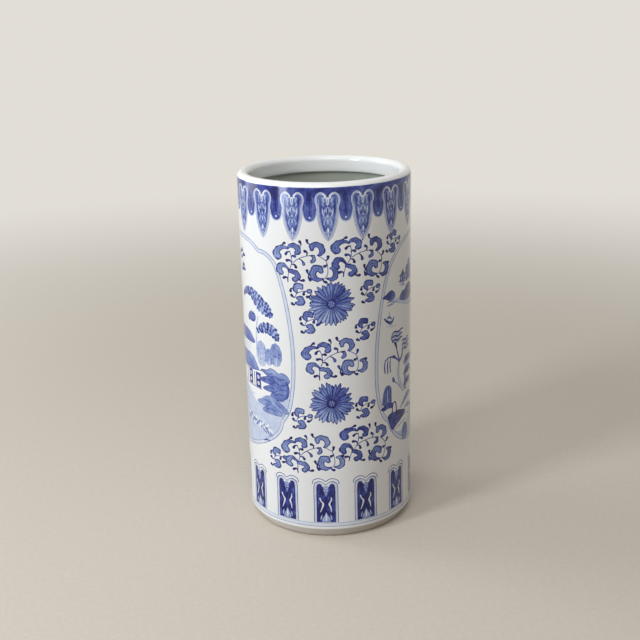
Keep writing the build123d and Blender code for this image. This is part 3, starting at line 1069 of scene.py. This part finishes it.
def make_coil(material):
    """The luting coil, smoothed by hand into a hollow fillet with shallow finger marks."""
    leg = floor_radius - coil_inner_radius
    curve, least, marks, dent_share, push = 1.35, 0.05, 34, 0.12, 0.7
    fillet = [(floor_radius - leg * t, coil_high - leg * (1 - (1 - t) ** curve) ** (1 / curve))
              for t in np.linspace(0.92, 0.08, 9)]
    profile = [(coil_inner_radius, coil_low)] + [(r, max(z, coil_low + least)) for r, z in fillet]
    profile += [(floor_radius, coil_high), (floor_radius, coil_low)]

    def pressed(turn, radius, z):
        """Finger marks: the sloping face is pressed in a little, again and again round the pot."""
        face = min(radius - coil_inner_radius, floor_radius - radius, z - coil_low)
        dent = dent_share * face * (1 + math.sin(marks * turn + 1.5 * math.sin(3 * turn)))
        return radius + dent * push, max(coil_low, z - dent * push)

    finished(lathe("coil_smoothed", profile, 240, pressed), [material], "luting_coil")


# Materials


def colour(red, green, blue):
    """A colour written as sRGB values from 0 to 255, as the linear values that a shader takes."""
    def linear(value):
        share = value / 255
        return share / 12.92 if share <= 0.04045 else ((share + 0.055) / 1.055) ** 2.4
    return (linear(red), linear(green), linear(blue), 1.0)


class Nodes:
    """Short ways to add nodes to a material or to the surround."""

    def __init__(self, owner, shader, place):
        self.owner = owner
        owner.use_nodes = True
        self.tree = owner.node_tree
        self.shader = self.tree.nodes[shader]
        self.place = self.add("ShaderNodeTexCoord").outputs[place]

    def add(self, kind, inputs=None, **settings):
        """Adds a node with its settings. An input is a value, or the output that it is joined to."""
        node = self.tree.nodes.new(kind)
        for name, value in settings.items():
            setattr(node, name, value)
        for name, value in (inputs or {}).items():
            if isinstance(value, bpy.types.NodeSocket):
                self.tree.links.new(value, node.inputs[name])
            else:
                node.inputs[name].default_value = value
        return node

    def noise(self, scale, detail=3.0):
        """A noise over the surface, with its scale per metre."""
        made = self.add("ShaderNodeTexNoise", {"Vector": self.place, "Scale": scale, "Detail": detail})
        return made.outputs["Fac"]

    def math(self, operation, a, b):
        """Two values put together by the named operation."""
        return self.add("ShaderNodeMath", {0: a, 1: b}, operation=operation).outputs[0]

    def apart(self):
        """The place on the surface, as three values."""
        return self.add("ShaderNodeSeparateXYZ", {0: self.place}).outputs

    def length(self, vector):
        """How long a vector is."""
        return self.add("ShaderNodeVectorMath", {0: vector}, operation="LENGTH").outputs["Value"]

    def spread(self, value, low, high, from_low=0.0, from_high=1.0, **settings):
        """A value from one range moved to another."""
        ranges = {"From Min": from_low, "From Max": from_high, "To Min": low, "To Max": high}
        return self.add("ShaderNodeMapRange", {"Value": value, **ranges}, **settings).outputs["Result"]

    def ramp(self, value, stops):
        """A colour ramp through (place, colour) stops."""
        node = self.add("ShaderNodeValToRGB", {"Fac": value})
        elements = node.color_ramp.elements
        while len(elements) < len(stops):
            elements.new(0.5)
        for element, (at, shade) in zip(elements, stops):
            element.position = at
            element.color = shade
        return node.outputs["Color"]

    def mix(self, share, first, second):
        """A colour between two colours."""
        return self.add("ShaderNodeMix", {0: share, 6: first, 7: second}, data_type="RGBA").outputs[2]

    def bump(self, height, strength, distance):
        """Fine relief on the shader's surface."""
        made = self.add("ShaderNodeBump", {"Height": height, "Strength": strength, "Distance": distance})
        self.link(made.outputs[0], "Normal")

    def seen(self):
        """A value of 1 for rays from the camera, also by way of a mirror or glass, and 0 for rays that
        carry light."""
        path = self.add("ShaderNodeLightPath").outputs
        straight_or_glossy = self.math("MAXIMUM", path["Is Camera Ray"], path["Is Glossy Ray"])
        return self.math("MAXIMUM", straight_or_glossy, path["Is Transmission Ray"])

    def cover(self, share, other):
        """Lets another shader take the main one's place, by a share."""
        own = self.shader.outputs[0]
        end = own.links[0].to_socket
        blend = self.add("ShaderNodeMixShader", {0: share, 1: own, 2: other.outputs[0]})
        self.tree.links.new(blend.outputs[0], end)

    def link(self, output, name):
        """Joins an output to one of the main shader's inputs."""
        self.tree.links.new(output, self.shader.inputs[name])

    def set(self, **values):
        """Sets inputs of the main shader."""
        for name, value in values.items():
            self.shader.inputs[name].default_value = value


GLAZE = colour(237, 239, 240)
COBALT = (
    (0.0, GLAZE),
    (0.17, colour(203, 213, 233)),
    (0.33, colour(160, 177, 216)),
    (0.52, colour(106, 127, 190)),
    (0.8, colour(46, 61, 150)),
    (1.0, colour(12, 16, 96)),
)
BACKDROP = colour(226, 222, 214)
GLASS_IOR = 1.5


def new_material(name):
    """The nodes of a new material, with places measured from the origin of its object."""
    return Nodes(bpy.data.materials.new(name), "Principled BSDF", "Object")


def glaze_finish(nodes):
    """The glaze itself: glossy, a little uneven, with the faint ripple of a thick melt."""
    nodes.set(IOR=GLASS_IOR)
    nodes.link(nodes.spread(nodes.noise(60), 0.07, 0.17), "Roughness")
    ripple = nodes.math("ADD", nodes.noise(28, 2.0), nodes.math("MULTIPLY", nodes.noise(420, 2.0), 0.05))
    nodes.bump(ripple, 0.16, 0.002)


def brushed(nodes, tone):
    """A tone of cobalt broken up by the brush into pools and grain."""
    pools = nodes.spread(nodes.noise(95, 4.0), 0.78, 1.2, 0.3, 0.7)
    grain = nodes.spread(nodes.noise(800, 2.0), 0.9, 1.1, 0.3, 0.7)
    return nodes.math("MULTIPLY", tone, nodes.math("MULTIPLY", pools, grain))


def painted_glaze():
    """White glaze over cobalt, as dark as the corners say."""
    nodes = new_material("painted_glaze")
    tone = nodes.add("ShaderNodeAttribute", attribute_name="cobalt").outputs["Fac"]
    nodes.link(nodes.ramp(brushed(nodes, tone), COBALT), "Base Color")
    glaze_finish(nodes)
    return nodes.owner


def white_glaze():
    """The lip's white glaze, a little whiter than the wall's glaze as painted light on the collar inside the
    mouth, with the painted band creeping up to a slightly wavy edge on the outside.
    """
    nodes = new_material("white_glaze")
    # painted light: the lip's white is lighter than the wall's glaze, to brighten the collar inside the
    # mouth
    lit_lip_white = (0.0, colour(246, 247, 246))
    creep, inner_limit = 1.6 * MM, 3 * MM
    wave, soft = 0.6 * MM, 0.3 * MM
    x, y, z = nodes.apart()
    out = nodes.length(nodes.add("ShaderNodeCombineXYZ", {0: x, 1: y}).outputs[0])
    edge = nodes.math("ADD", wall_high * MM + creep, nodes.spread(nodes.noise(45), -wave, wave))
    below = nodes.spread(nodes.math("SUBTRACT", edge, z), 0, 1, -soft, soft)
    outside = nodes.math("GREATER_THAN", out, body_radius * MM - inner_limit)
    tone = nodes.math("MULTIPLY", nodes.math("MULTIPLY", below, outside), BAND_TONE)
    nodes.link(nodes.ramp(brushed(nodes, tone), (lit_lip_white,) + COBALT[1:]), "Base Color")
    glaze_finish(nodes)
    return nodes.owner


def inner_glaze():
    """Glaze inside the pot, faintly green, with cloudy patches, and much darker than the outer glaze as
    painted shade in the hollow.
    """
    nodes = new_material("inner_glaze")
    cloud = nodes.spread(nodes.noise(14), 0, 1, 0.35, 0.65)
    # painted shade: grey-green far darker than the outer glaze, for the shade inside the pot
    nodes.link(nodes.mix(cloud, colour(172, 177, 167), colour(186, 190, 181)), "Base Color")
    glaze_finish(nodes)
    return nodes.owner


def foot_glaze():
    """The foot: grey-white glaze, its grey painted shade on the bevel under the wall, that thins out to tan
    at its lower edge, and bare clay to stand on.
    """
    nodes = new_material("foot_glaze")
    wander = 0.7 * MM
    level = nodes.math("ADD", nodes.apart()[2], nodes.spread(nodes.noise(70), -wander, wander))
    bare = nodes.spread(level, 1, 0, 0.7 * MM, 1.3 * MM)
    thin = nodes.spread(level, 1, 0, 0.9 * MM, 4.5 * MM)
    # painted shade: the foot's glaze is greyer than the wall's, for the shade on the bevel
    glaze_and_shade = nodes.mix(thin, colour(222, 221, 217), colour(203, 190, 170))
    grain = nodes.spread(nodes.noise(500), 0, 1, 0.35, 0.65)
    clay = nodes.mix(grain, colour(206, 195, 178), colour(184, 170, 150))
    nodes.link(nodes.mix(bare, glaze_and_shade, clay), "Base Color")
    nodes.set(IOR=GLASS_IOR)
    nodes.link(nodes.spread(bare, 0.14, 0.85), "Roughness")
    nodes.bump(nodes.math("MULTIPLY", nodes.noise(900, 4.0), bare), 0.35, 0.6 * MM)
    return nodes.owner


def floor_cloth():
    """The plain pale floor, which turns into the backdrop's colour far from the pot. Less light bounces off
    it than its own colour would give, so that the pot's underside stays in the shade."""
    nodes = new_material("stage_floor")
    near, far = 0.5, 2.4
    nodes.set(Roughness=0.9)
    speck = nodes.spread(nodes.noise(160, 4.0), 0, 1, 0.3, 0.7)
    shown = nodes.seen()
    pale = nodes.mix(speck, colour(207, 198, 185), colour(212, 203, 190))
    nodes.link(nodes.mix(shown, colour(142, 124, 102), pale), "Base Color")
    faded = nodes.spread(nodes.length(nodes.place), 0, 1, near, far, interpolation_type="SMOOTHSTEP")
    plain = nodes.add("ShaderNodeEmission", {"Color": BACKDROP, "Strength": 1.0})
    nodes.cover(nodes.math("MULTIPLY", faded, shown), plain)
    return nodes.owner


# Stage, camera and light


def make_stage():
    """A wide plain floor."""
    reach = 30.0
    mesh = bpy.data.meshes.new("stage_floor")
    corners = [(reach * x, reach * y, 0) for x, y in ((-1, -1), (1, -1), (1, 1), (-1, 1))]
    mesh.from_pydata(corners, [], [(0, 1, 2, 3)])
    mesh.materials.append(floor_cloth())
    floor = bpy.data.objects.new("stage_floor", mesh)
    bpy.context.scene.collection.objects.link(floor)


def make_camera():
    """The photograph's view: its place in metres and its turns in radians."""
    distance, height = 1.30174, 0.67381
    pitch, yaw, roll = 0.309, -0.0071, -0.0247
    focal_pixels, image_pixels = 1052.2, 640
    ahead = Vector((math.sin(yaw) * math.cos(pitch), math.cos(yaw) * math.cos(pitch), -math.sin(pitch)))
    level = ahead.cross(Vector((0, 0, 1))).normalized()
    upright = level.cross(ahead)
    right = level * math.cos(roll) + upright * math.sin(roll)
    up = upright * math.cos(roll) - level * math.sin(roll)
    data = bpy.data.cameras.new("camera")
    data.sensor_width = 36
    data.lens = data.sensor_width * focal_pixels / image_pixels
    camera = bpy.data.objects.new("camera", data)
    facing = Matrix((right, up, -ahead)).transposed().to_4x4()
    camera.matrix_world = Matrix.Translation((0, -distance, height)) @ facing
    bpy.context.scene.collection.objects.link(camera)
    bpy.context.scene.camera = camera


def lamp(name, place, aim, size, watts, tint=(1, 1, 1)):
    """A soft rectangular lamp that faces a point and isn't seen itself."""
    data = bpy.data.lights.new(name, "AREA")
    data.shape = "RECTANGLE"
    data.size, data.size_y = size
    data.energy = watts
    data.color = tint
    light = bpy.data.objects.new(name, data)
    light.location = place
    light.rotation_euler = (Vector(aim) - Vector(place)).to_track_quat("-Z", "Y").to_euler()
    light.visible_camera = False
    bpy.context.scene.collection.objects.link(light)


def make_surround():
    """A soft sky, brighter overhead, with the plain backdrop where it is seen directly."""
    level_strength, overhead_strength = 0.27, 0.5
    nodes = Nodes(bpy.data.worlds.new("surround"), "Background", "Generated")
    nodes.set(Color=(1.0, 0.985, 0.965, 1))
    nodes.link(nodes.spread(nodes.apart()[2], level_strength, overhead_strength), "Strength")
    nodes.cover(nodes.seen(), nodes.add("ShaderNodeBackground", {"Color": BACKDROP}))
    bpy.context.scene.world = nodes.owner


def make_light():
    """Two tall windows, one at the left front and one at the left, and a soft lamp high in front."""
    cool = (0.9, 0.955, 1.0)
    lamp("window", (-1.6, -1.2, 1.1), (0, 0, 1.1), (0.4, 2.1), 30, cool)
    lamp("side_window", (-1.9, 0.62, 1.0), (0, 0, 1.0), (0.9, 1.9), 15.5, cool)
    lamp("front", (-0.2, -1.3, 2.0), (0, 0, 0.45), (0.9, 0.9), 11)
    make_surround()


def main():
    """The pot with its painting, and the stage that it stands on."""
    wall = roll_up(*paint_sheet().cut(GROUND_BANDS))
    inside = inner_glaze()
    finished(wall, [painted_glaze(), inside], "wall")
    make_lip(white_glaze())
    make_foot(foot_glaze())
    make_floor(inside)
    make_coil(inside)
    make_stage()
    make_camera()
    make_light()
    bpy.context.scene.view_settings.view_transform = "Standard"


main()
